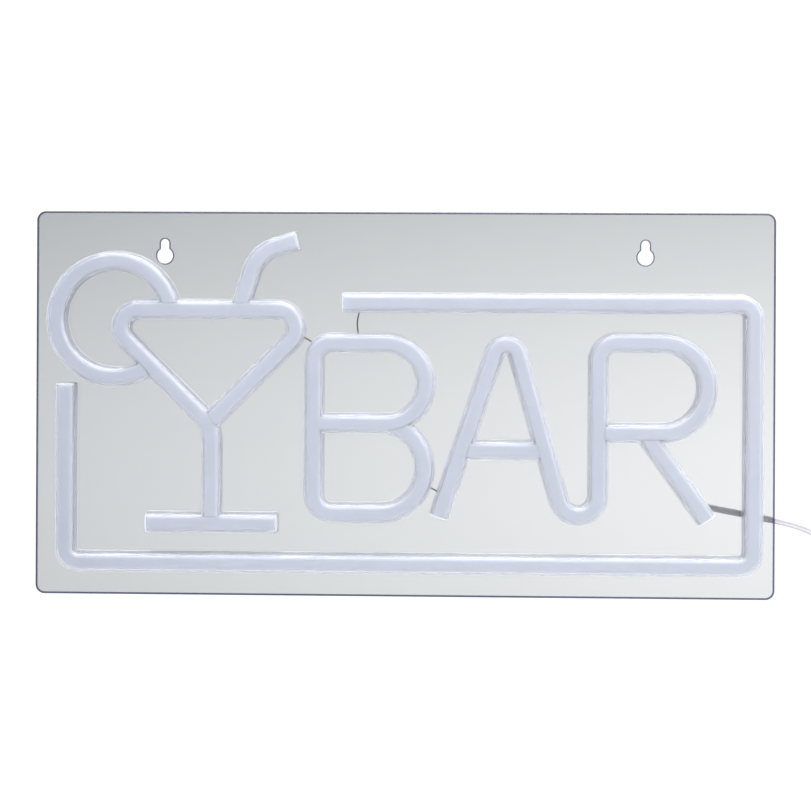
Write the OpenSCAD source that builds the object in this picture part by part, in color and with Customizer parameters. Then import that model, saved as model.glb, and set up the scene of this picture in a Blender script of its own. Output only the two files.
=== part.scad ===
// Neon-style bar sign. A clear moulded panel has raised hollow channels on its front, and each
// channel holds a milky diffuser over an LED strip. A flat clear lead runs behind the panel to
// a coil, an inline rocker switch and a USB plug.
// X runs along the width, Z is up and the front faces -Y. The origin lies on the panel's back
// face, midway between the round openings of the two keyholes.

/* [Panel] */
// Width of the clear panel
panel_w = 400; // [398:1:404]
// Height of the clear panel
panel_h = 208; // [206:1:212]
// Thickness of the flat sheet
sheet_t = 2.4; // [2:0.1:3]
// Radius of the panel's corners
panel_corner_r = 5; // [3:0.5:6]

/* [Keyholes] */
// Distance between the two keyholes
keyhole_spacing = 260; // [250:1:270]
// Height of the keyholes' round openings above the panel's middle
keyhole_rise = 80; // [78:1:84]
// Diameter of the round opening
keyhole_d = 8.6; // [8:0.1:9.2]
// Width of the slot above the round opening
slot_w = 4.6; // [4.2:0.1:5]
// Distance from the round opening's centre to the centre of the slot's round end
slot_rise = 6.8; // [6:0.1:8]

/* [Channels] */
// Outside width of a channel
channel_w = 10.6; // [10.4:0.1:11]
// Distance from the panel's back face to the front of a channel
channel_h = 11.5; // [11:0.1:13]
// Thickness of a channel's side and end walls
wall = 1.3; // [1.1:0.1:1.5]
// Thickness of a channel's front wall
front_wall = 1.2; // [0.8:0.1:1.4]
// Gap between a diffuser and the channel around it
fit_gap = 0.3; // [0.2:0.05:0.4]

/* [LED strips] */
// Thickness of the flexible circuit
strip_t = 0.6; // [0.4:0.1:0.8]
// Depth of the circuit's back below the panel's back face
strip_recess = 0.4; // [0.3:0.1:0.6]
// Distance from one LED to the next
led_pitch = 16.6; // [10:0.1:25]
// Width of the groove in the back of a diffuser
groove_w = 4.2; // [3.6:0.1:5]
// Depth of that groove
groove_d = 1.4; // [1.2:0.1:2]

/* [Frame tube] */
// Left run, from the middle of the panel
frame_left = 182.5; // [181:0.5:184]
// Right run, from the middle of the panel
frame_right = 187.5; // [186:0.5:189]
// Bottom run, below the middle of the panel
frame_bottom = 85.5; // [84:0.5:88]
// Top run, above the middle of the panel
frame_top = 55; // [54:0.5:58]

/* [Lead] */
// Width of the flat two-core lead
lead_w = 3.5; // [3:0.1:4]
// Thickness of the lead
lead_t = 1.8; // [1.6:0.1:2]
// Radius at the middle of the coil's turns
coil_r = 20; // [18:0.5:22]

/* [Switch] */
// Length of the inline switch
switch_len = 48; // [44:1:52]
// Width of the switch
switch_w = 15; // [14:0.5:17]
// Thickness of the switch
switch_t = 11; // [10:0.5:12]
// Angle that the rocker turns through
rocker_travel = 12; // [8:1:14]

/* [Hidden] */

eps = 0.01;
arc_step = 7.5;
round_fn = 48;

// Half widths of the bands that a stroke's centreline is widened to
channel_half = channel_w / 2;
cavity_half = channel_half - wall;
diffuser_half = cavity_half - fit_gap;
butt_gap = 0.15;

// Depths in front of the panel's back face
strip_front = strip_recess + strip_t;
cavity_front = channel_h - front_wall;
diffuser_front = cavity_front - fit_gap;

// ---- Centrelines, in the plane of the panel, from its middle ----

function heading(a, b) = atan2(b[1] - a[1], b[0] - a[0]);
function wrap(a) = a > 180 ? a - 360 : a < -180 ? a + 360 : a;
function left_of(h) = [-sin(h), cos(h)];
function ahead(h) = [cos(h), sin(h)];

// Points [x, y, heading] round the corner b of a line a-b-c, with the radius given in b[2]
function corner(a, b, c) =
    let (
        h0 = heading(a, b),
        turn = wrap(heading(b, c) - h0),
        side = sign(turn),
        start = [b[0], b[1]] - b[2] * tan(abs(turn) / 2) * ahead(h0),
        centre = start + side * b[2] * left_of(h0),
        n = max(1, ceil(abs(turn) / arc_step))
    )
    [for (k = [0:n])
        let (h = h0 + turn * k / n, p = centre - side * b[2] * left_of(h)) [p[0], p[1], h]];

// A line through the points v, each [x, y] or [x, y, corner radius]
function line(v) =
    let (n = len(v))
    concat(
        [[v[0][0], v[0][1], heading(v[0], v[1])]],
        [for (i = [1:1:n - 2]) each corner(v[i - 1], v[i], v[i + 1])],
        [[v[n - 1][0], v[n - 1][1], heading(v[n - 2], v[n - 1])]]
    );

// An arc about a centre from angle a0 anticlockwise to a1
function arc(centre, r, a0, a1) =
    let (n = ceil((a1 - a0) / arc_step))
    [for (k = [0:n])
        let (a = a0 + (a1 - a0) * k / n) [centre[0] + r * cos(a), centre[1] + r * sin(a), a + 90]];

// The same centreline, longer by e0 at its start and e1 at its end
function longer(path, e0, e1) =
    let (n = len(path), a = path[0], b = path[n - 1], p = [a[0], a[1]] - e0 * ahead(a[2]),
        q = [b[0], b[1]] + e1 * ahead(b[2]))
    [for (i = [0:n - 1]) i == 0 ? [p[0], p[1], a[2]] : i == n - 1 ? [q[0], q[1], b[2]] : path[i]];

// The outline of a band that lies half to each side of a centreline
function outline(path, half) = concat(
    [for (p = path) [p[0], p[1]] + half * left_of(p[2])],
    [for (i = [len(path) - 1:-1:0]) [path[i][0], path[i][1]] - half * left_of(path[i][2])]
);

// Distance along a centreline at each of its points
function step(path, i) = norm([path[i][0] - path[i - 1][0], path[i][1] - path[i - 1][1]]);
function mileage(path) =
    [for (i = 0, s = 0; i < len(path); i = i + 1, s = s + (i < len(path) ? step(path, i) : 0)) s];
function run_length(path) = mileage(path)[len(path) - 1];

// The point [x, y, heading] at the distance s along a centreline
function along(path, s) =
    let (
        m = mileage(path),
        i = min(len([for (d = m) if (d <= s) 1]) - 1, len(path) - 2),
        f = (s - m[i]) / (m[i + 1] - m[i])
    )
    [
        path[i][0] + f * (path[i + 1][0] - path[i][0]),
        path[i][1] + f * (path[i + 1][1] - path[i][1]),
        path[i][2] + f * wrap(path[i + 1][2] - path[i][2])
    ];

// Frame: one bent tube, open at the upper left
frame_path = line([[-frame_left, 9.5], [-frame_left, -frame_bottom, 7.6],
    [frame_right, -frame_bottom, 7.6], [frame_right, frame_top, 7.6], [-32, frame_top]]);

// Cocktail glass, drawn in one stroke from its right side round to the stem's lower end
glass_rim = 51;
glass_foot = -64;
glass_stem = -103.3;
glass_v = [-104.5, -9.5];
glass_left = [-167, 51];
glass_right = [-44, 51];
glass_split = (glass_v + glass_right) / 2;
glass_path = line([glass_split, [glass_right[0], glass_right[1], 10],
    [glass_left[0], glass_left[1], 10], [glass_stem, -12, 20], [glass_stem, glass_foot]]);
glass_tip = line([glass_split, glass_v]);
slice_path = arc([-156.5, 45.6], 31.3, 9, 303);
straw_path = line([[-88.9, glass_rim], [-78.8, 82.1, 21], [-58.3, 88]]);
foot_path = line([[-137.7, glass_foot], [-68.7, glass_foot]]);

// Letter B
b_stem = -48.2;
b_top = 33.2;
b_bar = -10;
b_bottom = -58.3;
b_upper_r = (b_top - b_bar) / 2;
b_lower_r = (b_bar - b_bottom) / 2;
b_bar_split = -24;
b_bottom_split = -27;
b_path = line([[b_bottom_split, b_bottom], [b_stem, b_bottom, 10], [b_stem, b_top, 9],
    [12, b_top, b_upper_r - eps], [12, b_bar, b_upper_r - eps], [b_bar_split, b_bar]]);
b_bar_tip = line([[b_bar_split, b_bar], [b_stem, b_bar]]);
b_bowl_tip = concat(
    [[b_bottom_split, b_bottom, 0]],
    arc([11.5 - b_lower_r, b_bottom + b_lower_r], b_lower_r, -90, 75)
);

// Letters A and R, drawn in one stroke
r_top = 34.1;
r_bar = -14.3;
r_bowl_r = (r_top - r_bar) / 2;
r_stem = 104.7;
r_bar_split = 125;
ar_path = line([[19.5, -59.3], [55.6, 48.1, 6.5], [r_stem, -124.9, 10.7], [r_stem, r_top, 10],
    [162.8, r_top, r_bowl_r - eps], [162.8, r_bar, r_bowl_r - eps], [r_bar_split, r_bar]]);
r_bar_tip = line([[r_bar_split, r_bar], [r_stem, r_bar]]);
a_bar_path = line([[32, -24], [77, -24]]);
r_leg_path = line([[129.5, -14.3], [162.3, -59.9]]);

// Jumper wires behind the panel, from one strip's solder joint to the next
wire_r = 0.4;
wire_depth = -0.5;
WIRES = [
    ["frame_b", [[-23, 54.5], [-25.4, 44], [-23.8, 33.6]]],
    ["glass_b", [[-58.5, 38], [-51.4, 34.4], [-45.7, 30.2]]],
    ["b_a", [[9.9, -43], [16.4, -45.9], [23, -49.8]]]
];

// Solder bridges [x, y, angle] where one strip butts against another
BRIDGES = [[-126.5, 54.8, 107], [-87.7, 54.8, 72], [glass_stem, -60.2, 90], [36, -24, 0],
    [132.2, -18.1, -54]];

// Route of the lead [x, y, depth in front of the back face], from its anchor to the coil
anchor_at = [157, -53];
anchor_size = [9, 5, 2.6];
lead_slope = -11;
lead_route = [[161.4, -53.9, -1.1], [170, -55.6, -1.1], [180, -57.5, -1.1], [190, -59.5, -1.1],
    [200, -61.4, -1.1], [209, -63.4, -0.6], [218, -66.4, 0.6], [226.5, -71, 2], [233.5, -77, 3.4],
    [238.5, -83.3, 4.5], [242.4, -88.1, 5.1], [246, -90.3, 5.2], [250.2, -90.8, 5.2]];
coil_centre = [248, -118, 5.2];
coil_pitch = 3.6;
coil_layers = 3;
coil_columns = 4;
coil_deep = coil_layers * coil_pitch;
coil_wide = coil_columns * coil_pitch;
coil_outer = coil_r + coil_deep / 2;
coil_inner = coil_r - coil_deep / 2;
tie_t = 0.8;
tie_w = 4;

// Switch and plug hang one below the other from the right side of the coil's outer layer
tail_x = coil_centre[0] + coil_r + coil_pitch;
tail_top = -127;
switch_top = -150;
plug_top = -216;
inside = 4;
hang_depth = coil_centre[2];
switch_centre = [tail_x, switch_top - switch_len / 2, hang_depth];
tail_route = [[tail_x, tail_top, hang_depth], [tail_x, -139, hang_depth],
    [tail_x, switch_top - inside, hang_depth]];
end_route = [[tail_x, switch_top - switch_len + inside, hang_depth], [tail_x, -207, hang_depth],
    [tail_x, plug_top, hang_depth]];

switch_wall = 1.5;
switch_corner_r = 4;
rocker_size = [8, 11.6];
rocker_gap = 0.2;
rocker_end_gap = 0.5;
pin_d = 1.5;
pin_gap = 0.05;
pivot_depth = 2.9;
post_y = 17;
post_d = 4.4;
screw_d = 1.9;
screw_head_d = 3.6;
screw_head_t = 1.2;
plug_size = [15.5, 25, 7.6];
plug_neck = [6.5, 7];
shell_size = [12, 18.5, 4.5];
shell_t = 0.35;
shell_inside = 5;

// One row a stroke: its name, its centrelines (the first is continuous, and the others butt
// against it), and whether each end of the first is free, so that it has an end wall
STROKES = [
    ["frame", [frame_path], [1, 1]],
    ["slice", [slice_path], [0, 0]],
    ["glass", [glass_path, glass_tip], [0, 0]],
    ["straw", [straw_path], [0, 1]],
    ["foot", [foot_path], [1, 1]],
    ["b", [b_path, b_bar_tip, b_bowl_tip], [0, 0]],
    ["ar", [ar_path, r_bar_tip], [1, 0]],
    ["a_bar", [a_bar_path], [0, 0]],
    ["r_leg", [r_leg_path], [0, 1]]
];
// The centrelines that a stroke's ends are cut against
function cut_by(name) =
    name == "slice" || name == "straw" ? [glass_path] :
    name == "glass" ? [foot_path] :
    name == "a_bar" || name == "r_leg" ? [ar_path] : [];

// ---- Helpers ----

// From the panel's drawing plane (x across, y up, z towards the front) to the sign's own axes
module hang() {
    translate([0, 0, -keyhole_rise])
        rotate([90, 0, 0])
            children();
}

module band(path, half) {
    polygon(outline(path, half));
}

// A stroke's whole band, past its free ends by reach
module stroke_band(stroke, half, reach) {
    free = stroke[2];
    band(longer(stroke[1][0], free[0] * reach, free[1] * reach), half);
    for (i = [1:1:len(stroke[1]) - 1])
        band(stroke[1][i], half);
}

// A stroke's band with its butting ends cut clear of the strokes they meet
module fitted_band(stroke, half) {
    difference() {
        band(stroke[1][0], half);
        for (path = cut_by(stroke[0]))
            band(path, diffuser_half + butt_gap);
    }
    for (i = [1:1:len(stroke[1]) - 1])
        difference() {
            band(stroke[1][i], half);
            band(stroke[1][0], diffuser_half + butt_gap);
        }
}

module rounded_plate(w, h, r) {
    hull()
        for (x = [-1, 1], y = [-1, 1])
            translate([x * (w / 2 - r), y * (h / 2 - r)])
                circle(r, $fn = 32);
}

// ---- Panel, diffusers and LED strips ----

module keyhole() {
    cylinder(d = keyhole_d, h = sheet_t + 2, center = true, $fn = round_fn);
    translate([0, slot_rise, 0])
        cylinder(d = slot_w, h = sheet_t + 2, center = true, $fn = round_fn);
    translate([0, slot_rise / 2, 0])
        cube([slot_w, slot_rise, sheet_t + 2], center = true);
}

module panel() {
    color([0.86, 0.9, 0.94, 0.35])
        hang()
            difference() {
                union() {
                    linear_extrude(sheet_t)
                        rounded_plate(panel_w, panel_h, panel_corner_r);
                    linear_extrude(channel_h)
                        for (stroke = STROKES)
                            stroke_band(stroke, channel_half, fit_gap + wall);
                }
                translate([0, 0, -1])
                    linear_extrude(cavity_front + 1)
                        for (stroke = STROKES)
                            stroke_band(stroke, cavity_half, fit_gap);
                for (x = [-1, 1])
                    translate([x * keyhole_spacing / 2, keyhole_rise, sheet_t / 2])
                        keyhole();
            }
}

module diffuser(i) {
    color([0.87, 0.9, 0.98])
        hang()
            difference() {
                translate([0, 0, strip_front])
                    linear_extrude(diffuser_front - strip_front)
                        fitted_band(STROKES[i], diffuser_half);
                translate([0, 0, strip_front - 1])
                    linear_extrude(groove_d + 1)
                        stroke_band(STROKES[i], groove_w / 2, 1);
            }
}

module strip(i) {
    color([0.95, 0.95, 0.93])
        hang()
            translate([0, 0, strip_recess])
                linear_extrude(strip_t)
                    fitted_band(STROKES[i], diffuser_half);
}

// Small blocks along every stroke, the first at the distance start from the stroke's end
module along_strips(size, start) {
    for (stroke = STROKES, path = stroke[1])
        for (s = [start:led_pitch:run_length(path) - led_pitch / 3])
            let (p = along(path, s))
                translate([p[0], p[1], strip_front])
                    rotate(p[2])
                        translate([-size[0] / 2, -size[1] / 2, 0])
                            cube(size);
}

module led_chips() {
    color([0.98, 0.9, 0.55])
        hang()
            along_strips([3.5, 2.8, 0.8], led_pitch / 2);
}

module strip_resistors() {
    color([0.12, 0.12, 0.13])
        hang()
            along_strips([2, 1.2, 0.5], led_pitch);
}

module solder_bridges() {
    color([0.8, 0.8, 0.82])
        hang()
            for (b = BRIDGES)
                translate([b[0], b[1], strip_recess - 0.15])
                    rotate(b[2])
                        cube([4, 2, 0.3], center = true);
}

module solder_joints() {
    joint_back = wire_depth + wire_r;
    color([0.8, 0.8, 0.82])
        hang()
            for (wire = WIRES, at = [wire[1][0], wire[1][2]])
                translate([at[0], at[1], joint_back])
                    cylinder(r = 0.9, h = strip_recess - joint_back, $fn = round_fn);
}

// ---- Wires and the lead ----

function unit(v) = v / norm(v);

// Catmull-Rom points through a route, n to each of its spans
function smooth(v, n) =
    let (last = len(v) - 1)
    [for (i = [0:last - 1], k = [0:n - 1])
        let (
            a = v[max(i - 1, 0)], b = v[i], c = v[i + 1], d = v[min(i + 2, last)], t = k / n
        )
        0.5 * (2 * b + (c - a) * t + (2 * a - 5 * b + 4 * c - d) * t * t
            + (3 * b - a - 3 * c + d) * t * t * t),
     v[last]];

// A closed tube along points [x, y, depth], w wide in the panel's plane and t thick
module tube(v, w, t, sides = 8) {
    n = len(v);
    rings = [for (i = [0:n - 1], k = [0:sides - 1])
        let (
            fwd = unit(v[min(i + 1, n - 1)] - v[max(i - 1, 0)]),
            across = unit(cross([0, 0, 1], fwd)),
            out = cross(fwd, across),
            a = 360 * (k + 0.5) / sides
        )
        v[i] + w / 2 * cos(a) * across + t / 2 * sin(a) * out];
    sides_of = [for (i = [0:n - 2], k = [0:sides - 1])
        let (j = (k + 1) % sides)
        [i * sides + k, (i + 1) * sides + k, (i + 1) * sides + j, i * sides + j]];
    caps = [[for (k = [0:sides - 1]) k], [for (k = [sides - 1:-1:0]) (n - 1) * sides + k]];
    polyhedron(rings, concat(sides_of, caps), convexity = 10);
}

module wire(i) {
    color([0.36, 0.36, 0.3])
        hang()
            tube(smooth([for (p = WIRES[i][1]) [p[0], p[1], wire_depth]], 4), 2 * wire_r, 2 * wire_r);
}

module lead_anchor() {
    color([0.8, 0.8, 0.78])
        hang()
            translate([anchor_at[0], anchor_at[1], 0]) {
                rotate(lead_slope)
                    translate([-anchor_size[0] / 2, -anchor_size[1] / 2, -anchor_size[2]])
                        cube(anchor_size);
                cylinder(r = 2, h = strip_recess, $fn = round_fn);
            }
}

module lead_tube(route, n) {
    color([0.62, 0.6, 0.66])
        hang()
            tube(smooth(route, n), lead_w, lead_t);
}

module lead() {
    lead_tube(lead_route, 2);
}

module lead_tail() {
    lead_tube(tail_route, 2);
}

module lead_end() {
    lead_tube(end_route, 2);
}

module lead_coil() {
    color([0.62, 0.6, 0.66])
        hang()
            translate(coil_centre)
                rotate_extrude($fn = round_fn)
                    translate([coil_inner, -coil_wide / 2])
                        square([coil_deep, coil_wide]);
}

module coil_tie() {
    gap = 0.2;
    low = coil_inner - gap;
    high = coil_outer + lead_w + 5 * gap;
    hole = [tie_w + 2, high - low, coil_wide + 2 * gap];
    color([0.9, 0.9, 0.9])
        hang()
            translate([coil_centre[0], coil_centre[1] + (low + high) / 2, coil_centre[2]])
                difference() {
                    cube([tie_w, hole[1] + 2 * tie_t, hole[2] + 2 * tie_t], center = true);
                    cube(hole, center = true);
                }
}

// ---- Inline switch ----

module at_switch() {
    hang()
        translate(switch_centre)
            children();
}

// One half of the housing, open at the parting plane z = 0 and closed at z = switch_t / 2
module switch_half() {
    half_t = switch_t / 2;
    difference() {
        linear_extrude(half_t)
            rounded_plate(switch_w, switch_len, switch_corner_r);
        translate([0, 0, -1])
            linear_extrude(half_t - switch_wall + 1)
                rounded_plate(switch_w - 2 * switch_wall, switch_len - 2 * switch_wall,
                    switch_corner_r - switch_wall);
        cube([lead_w + 0.2, switch_len + 2, lead_t + 0.2], center = true);
    }
}

module switch_front_shell() {
    window = [rocker_size[0] + 2 * rocker_gap, rocker_size[1] + 2 * rocker_end_gap];
    color("white")
        at_switch()
            difference() {
                union() {
                    switch_half();
                    for (y = [-post_y, post_y])
                        translate([0, y, 0])
                            cylinder(d = post_d, h = switch_t / 2 - switch_wall, $fn = round_fn);
                }
                translate([-window[0] / 2, -window[1] / 2, switch_t / 2 - switch_wall - 1])
                    cube([window[0], window[1], switch_wall + 2]);
                translate([0, 0, pivot_depth])
                    rotate([0, 90, 0])
                        cylinder(d = pin_d + 0.04, h = switch_w - switch_wall, center = true,
                            $fn = round_fn);
                for (y = [-post_y, post_y])
                    translate([0, y, -1])
                        cylinder(d = screw_d + 0.1, h = switch_t / 2 - switch_wall + 1,
                            $fn = round_fn);
            }
}

module switch_rear_shell() {
    color("white")
        at_switch()
            mirror([0, 0, 1])
                difference() {
                    union() {
                        switch_half();
                        for (y = [-post_y, post_y])
                            translate([0, y, 0])
                                cylinder(d = post_d, h = switch_t / 2 - eps, $fn = round_fn);
                    }
                    for (y = [-post_y, post_y])
                        translate([0, y, 0]) {
                            translate([0, 0, -1])
                                cylinder(d = screw_d + 0.2, h = switch_t, $fn = round_fn);
                            translate([0, 0, switch_t / 2 - screw_head_t])
                                cylinder(d = screw_head_d + 0.2, h = 5, $fn = round_fn);
                        }
                }
}

module switch_screws() {
    color("silver")
        at_switch()
            mirror([0, 0, 1])
                for (y = [-post_y, post_y])
                    translate([0, y, 0]) {
                        translate([0, 0, -3.6])
                            cylinder(d = screw_d, h = switch_t / 2 - screw_head_t + 3.7,
                                $fn = round_fn);
                        translate([0, 0, switch_t / 2 - screw_head_t])
                            cylinder(d = screw_head_d, h = screw_head_t - 0.1, $fn = round_fn);
                    }
}

// The rocker rests with its lower end pressed in, which is off
module switch_rocker() {
    half = rocker_size[1] / 2;
    low = -2.4;
    high = 3.9;
    dip = 2.5;
    color([0.95, 0.95, 0.93])
        at_switch()
            translate([0, 0, pivot_depth])
                rotate([rocker_travel / 2, 0, 0])
                    difference() {
                        rotate([90, 0, 90])
                            linear_extrude(rocker_size[0], center = true)
                                polygon([[-half, low], [half, low], [half, high], [0, dip], [-half, high]]);
                        rotate([0, 90, 0])
                            cylinder(d = pin_d + 2 * pin_gap, h = rocker_size[0] + 2, center = true,
                                $fn = round_fn);
                    }
}

module switch_pin() {
    color("silver")
        at_switch()
            translate([0, 0, pivot_depth])
                rotate([0, 90, 0])
                    cylinder(d = pin_d, h = switch_w - switch_wall - 0.2, center = true,
                        $fn = round_fn);
}

module switch_terminals() {
    floor_depth = switch_wall - switch_t / 2;
    color("gold")
        at_switch()
            for (side = [-1, 1])
                translate([0, side * 8, floor_depth]) {
                    translate([-2.5, -3, 0])
                        cube([5, 6, 0.8]);
                    translate([-2, -0.4, 0])
                        cube([4, 0.8, 3.2]);
                }
}

// ---- USB plug ----

module at_plug() {
    hang()
        translate([tail_x, plug_top, hang_depth])
            children();
}

module plug_body() {
    w = plug_size[0] / 2;
    neck = plug_neck[0] / 2;
    color("white")
        at_plug()
            difference() {
                linear_extrude(plug_size[2], center = true)
                    polygon([[-neck, 0], [-neck, -3], [-w, -plug_neck[1]], [-w, -plug_size[1]],
                        [w, -plug_size[1]], [w, -plug_neck[1]], [neck, -3], [neck, 0]]);
                translate([0, -plug_size[1], 0])
                    cube([shell_size[0] + 0.04, 2 * shell_inside + 0.04, shell_size[2] + 0.04],
                        center = true);
            }
}

module plug_shell() {
    bore = [shell_size[0] - 2 * shell_t, shell_size[1] + shell_inside, shell_size[2] - 2 * shell_t];
    latch = 2.2;
    color("silver")
        at_plug()
            translate([0, -plug_size[1] + shell_inside - bore[1] / 2, 0])
                difference() {
                    cube([shell_size[0], bore[1], shell_size[2]], center = true);
                    cube([bore[0], bore[1] + 2, bore[2]], center = true);
                    for (x = [-3, 3])
                        translate([x, -1, 0])
                            cube([latch, latch, shell_size[2] + 2], center = true);
                }
}

module plug_tongue() {
    gap = 0.05;
    w = shell_size[0] - 2 * shell_t - 2 * gap;
    t = shell_size[2] - 2 * shell_t - 2 * gap;
    color([0.95, 0.95, 0.95])
        at_plug()
            translate([-w / 2, -plug_size[1] + shell_inside, -t / 2]) {
                translate([0, -shell_inside - 2, 0])
                    cube([w, shell_inside + 2, t]);
                translate([0, -shell_inside - 17, 0])
                    cube([w, shell_inside + 16, 1.85]);
            }
}

module plug_contacts() {
    gap = 0.05;
    t = shell_size[2] - 2 * shell_t - 2 * gap;
    color("gold")
        at_plug()
            for (x = [-3.5, -1, 1, 3.5])
                translate([x - 0.5, -plug_size[1] - 16, 1.85 - t / 2])
                    cube([1, 12, 0.2]);
}

panel();
diffuser(0);  // diffuser_frame
diffuser(1);  // diffuser_slice
diffuser(2);  // diffuser_glass
diffuser(3);  // diffuser_straw
diffuser(4);  // diffuser_foot
diffuser(5);  // diffuser_b
diffuser(6);  // diffuser_ar
diffuser(7);  // diffuser_a_bar
diffuser(8);  // diffuser_r_leg
strip(0);  // strip_frame
strip(1);  // strip_slice
strip(2);  // strip_glass
strip(3);  // strip_straw
strip(4);  // strip_foot
strip(5);  // strip_b
strip(6);  // strip_ar
strip(7);  // strip_a_bar
strip(8);  // strip_r_leg
led_chips();
strip_resistors();
solder_bridges();
solder_joints();
wire(0);  // wire_frame_b
wire(1);  // wire_glass_b
wire(2);  // wire_b_a
lead_anchor();
lead();
lead_coil();
coil_tie();
lead_tail();
lead_end();
switch_front_shell();
switch_rear_shell();
switch_rocker();
switch_pin();
switch_terminals();
switch_screws();
plug_body();
plug_shell();
plug_tongue();
plug_contacts();
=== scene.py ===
import math

import bmesh
import bpy
from mathutils import Matrix, Vector


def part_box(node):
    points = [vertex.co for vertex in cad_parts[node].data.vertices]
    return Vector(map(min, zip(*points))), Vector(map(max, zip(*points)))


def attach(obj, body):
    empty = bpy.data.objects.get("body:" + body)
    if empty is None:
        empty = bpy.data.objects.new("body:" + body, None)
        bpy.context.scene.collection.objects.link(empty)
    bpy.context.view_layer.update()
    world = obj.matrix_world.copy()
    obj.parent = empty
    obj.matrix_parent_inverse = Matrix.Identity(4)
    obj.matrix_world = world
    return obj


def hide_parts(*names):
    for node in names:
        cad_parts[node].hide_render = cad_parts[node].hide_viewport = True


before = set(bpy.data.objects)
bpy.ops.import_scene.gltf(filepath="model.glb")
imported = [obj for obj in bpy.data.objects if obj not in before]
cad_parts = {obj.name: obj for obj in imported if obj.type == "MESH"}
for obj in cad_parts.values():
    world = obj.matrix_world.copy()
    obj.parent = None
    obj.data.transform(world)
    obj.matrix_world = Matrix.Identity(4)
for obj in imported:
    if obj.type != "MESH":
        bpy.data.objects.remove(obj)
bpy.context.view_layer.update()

# A neon-style bar sign: a clear moulded panel with milky tubes in its hollow channels. Sizes are
# in millimetres, in the drawing plane: x across, y up from the panel's middle, and the depth in
# front of its back face. row() takes a point from there to the row frame, in metres.
MM = 0.001
KEYHOLE_RISE = 80
KEYHOLE_SPACING = 260
KEYHOLE_R = 4.3
SLOT_R = 2.3
SLOT_RISE = 6.8

SHEET_T = 2.4
PANEL_CORNER_R = 5
CHANNEL_HALF = 5.3
CHANNEL_FRONT = 11.5
CAVITY_HALF = 4
CAVITY_FRONT = 10.3
DIFFUSER_HALF = 3.7
DIFFUSER_FRONT = 10
DIFFUSER_BACK = 1
GROOVE_HALF = 2.1
GROOVE_FRONT = 2.4
FIT_GAP = 0.3
END_WALL = 1.3
BUTT_GAP = 0.04
STRIP_BACK = 0.4
LED_PITCH = 16.6

ARC_STEP = math.radians(3)
END_STEPS = 4


def row(x, y, depth=0.0):
    return Vector((x, -depth, y - KEYHOLE_RISE)) * MM


# ---- Centrelines: lists of (x, y, heading) ----

def heading(a, b):
    return math.atan2(b[1] - a[1], b[0] - a[0])


def corner(a, b, c, steps=None):
    """The round corner at b of a line a-b-c, with its radius in b[2], in steps if they are given."""
    h0 = heading(a, b)
    turn = (heading(b, c) - h0 + math.pi) % math.tau - math.pi
    side, r = math.copysign(1, turn), b[2]
    back = r * math.tan(abs(turn) / 2)
    x = b[0] - back * math.cos(h0) - side * r * math.sin(h0)
    y = b[1] - back * math.sin(h0) + side * r * math.cos(h0)
    n = steps or max(1, math.ceil(abs(turn) / ARC_STEP))
    heads = [h0 + turn * k / n for k in range(n + 1)]
    return [(x + side * r * math.sin(h), y - side * r * math.cos(h), h) for h in heads]


def line(*v):
    """A line through points (x, y), with each inner point (x, y, radius) a round corner."""
    points = [(v[0][0], v[0][1], heading(v[0], v[1]))]
    for a, b, c in zip(v, v[1:], v[2:]):
        points += corner(a, b, c)
    points.append((v[-1][0], v[-1][1], heading(v[-2], v[-1])))
    return points


def arc(x, y, r, start, end):
    """An arc about (x, y), anticlockwise between two angles in degrees."""
    a0, a1 = math.radians(start), math.radians(end)
    n = math.ceil((a1 - a0) / ARC_STEP)
    angles = [a0 + (a1 - a0) * k / n for k in range(n + 1)]
    return [(x + r * math.cos(a), y + r * math.sin(a), a + math.pi / 2) for a in angles]


FRAME_LEFT, FRAME_RIGHT, FRAME_BOTTOM, FRAME_TOP = -182.5, 187.5, -85.5, 55
FRAME = line((FRAME_LEFT, 9.5), (FRAME_LEFT, FRAME_BOTTOM, 7.6),
             (FRAME_RIGHT, FRAME_BOTTOM, 7.6), (FRAME_RIGHT, FRAME_TOP, 7.6), (-32, FRAME_TOP))
RIM, FOOT, STEM = 51, -64, -103.3
GLASS_V, GLASS_RIGHT = (-104.5, -9.5), (-44, RIM)
GLASS_SPLIT = ((GLASS_V[0] + GLASS_RIGHT[0]) / 2, (GLASS_V[1] + GLASS_RIGHT[1]) / 2)
GLASS = line(GLASS_SPLIT, (*GLASS_RIGHT, 10), (-167, RIM, 10), (STEM, -12, 20), (STEM, FOOT))
GLASS_TIP = line(GLASS_SPLIT, GLASS_V)
SLICE = arc(-156.5, 45.6, 31.3, 9, 303)
STRAW = line((-88.9, RIM), (-78.8, 82.1, 21), (-58.3, 88))
GLASS_FOOT = line((-137.7, FOOT), (-68.7, FOOT))
B_STEM, B_TOP, B_BAR, B_BOTTOM = -48.2, 33.2, -10, -58.3
B_UPPER_R, B_LOWER_R = (B_TOP - B_BAR) / 2, (B_BAR - B_BOTTOM) / 2
LETTER_B = line((-27, B_BOTTOM), (B_STEM, B_BOTTOM, 10), (B_STEM, B_TOP, 9),
                (12, B_TOP, B_UPPER_R - 0.01), (12, B_BAR, B_UPPER_R - 0.01), (-24, B_BAR))
B_BAR_TIP = line((-24, B_BAR), (B_STEM, B_BAR))
B_BOWL_TIP = [(-27, B_BOTTOM, 0.0)] + arc(11.5 - B_LOWER_R, B_BOTTOM + B_LOWER_R, B_LOWER_R, -90, 75)
R_STEM, R_TOP, R_BAR = 104.7, 34.1, -14.3
R_BOWL_R = (R_TOP - R_BAR) / 2
LETTERS_AR = line((19.5, -59.3), (55.6, 48.1, 6.5), (R_STEM, -124.9, 10.7), (R_STEM, R_TOP, 10),
                  (162.8, R_TOP, R_BOWL_R - 0.01), (162.8, R_BAR, R_BOWL_R - 0.01), (125, R_BAR))
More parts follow.
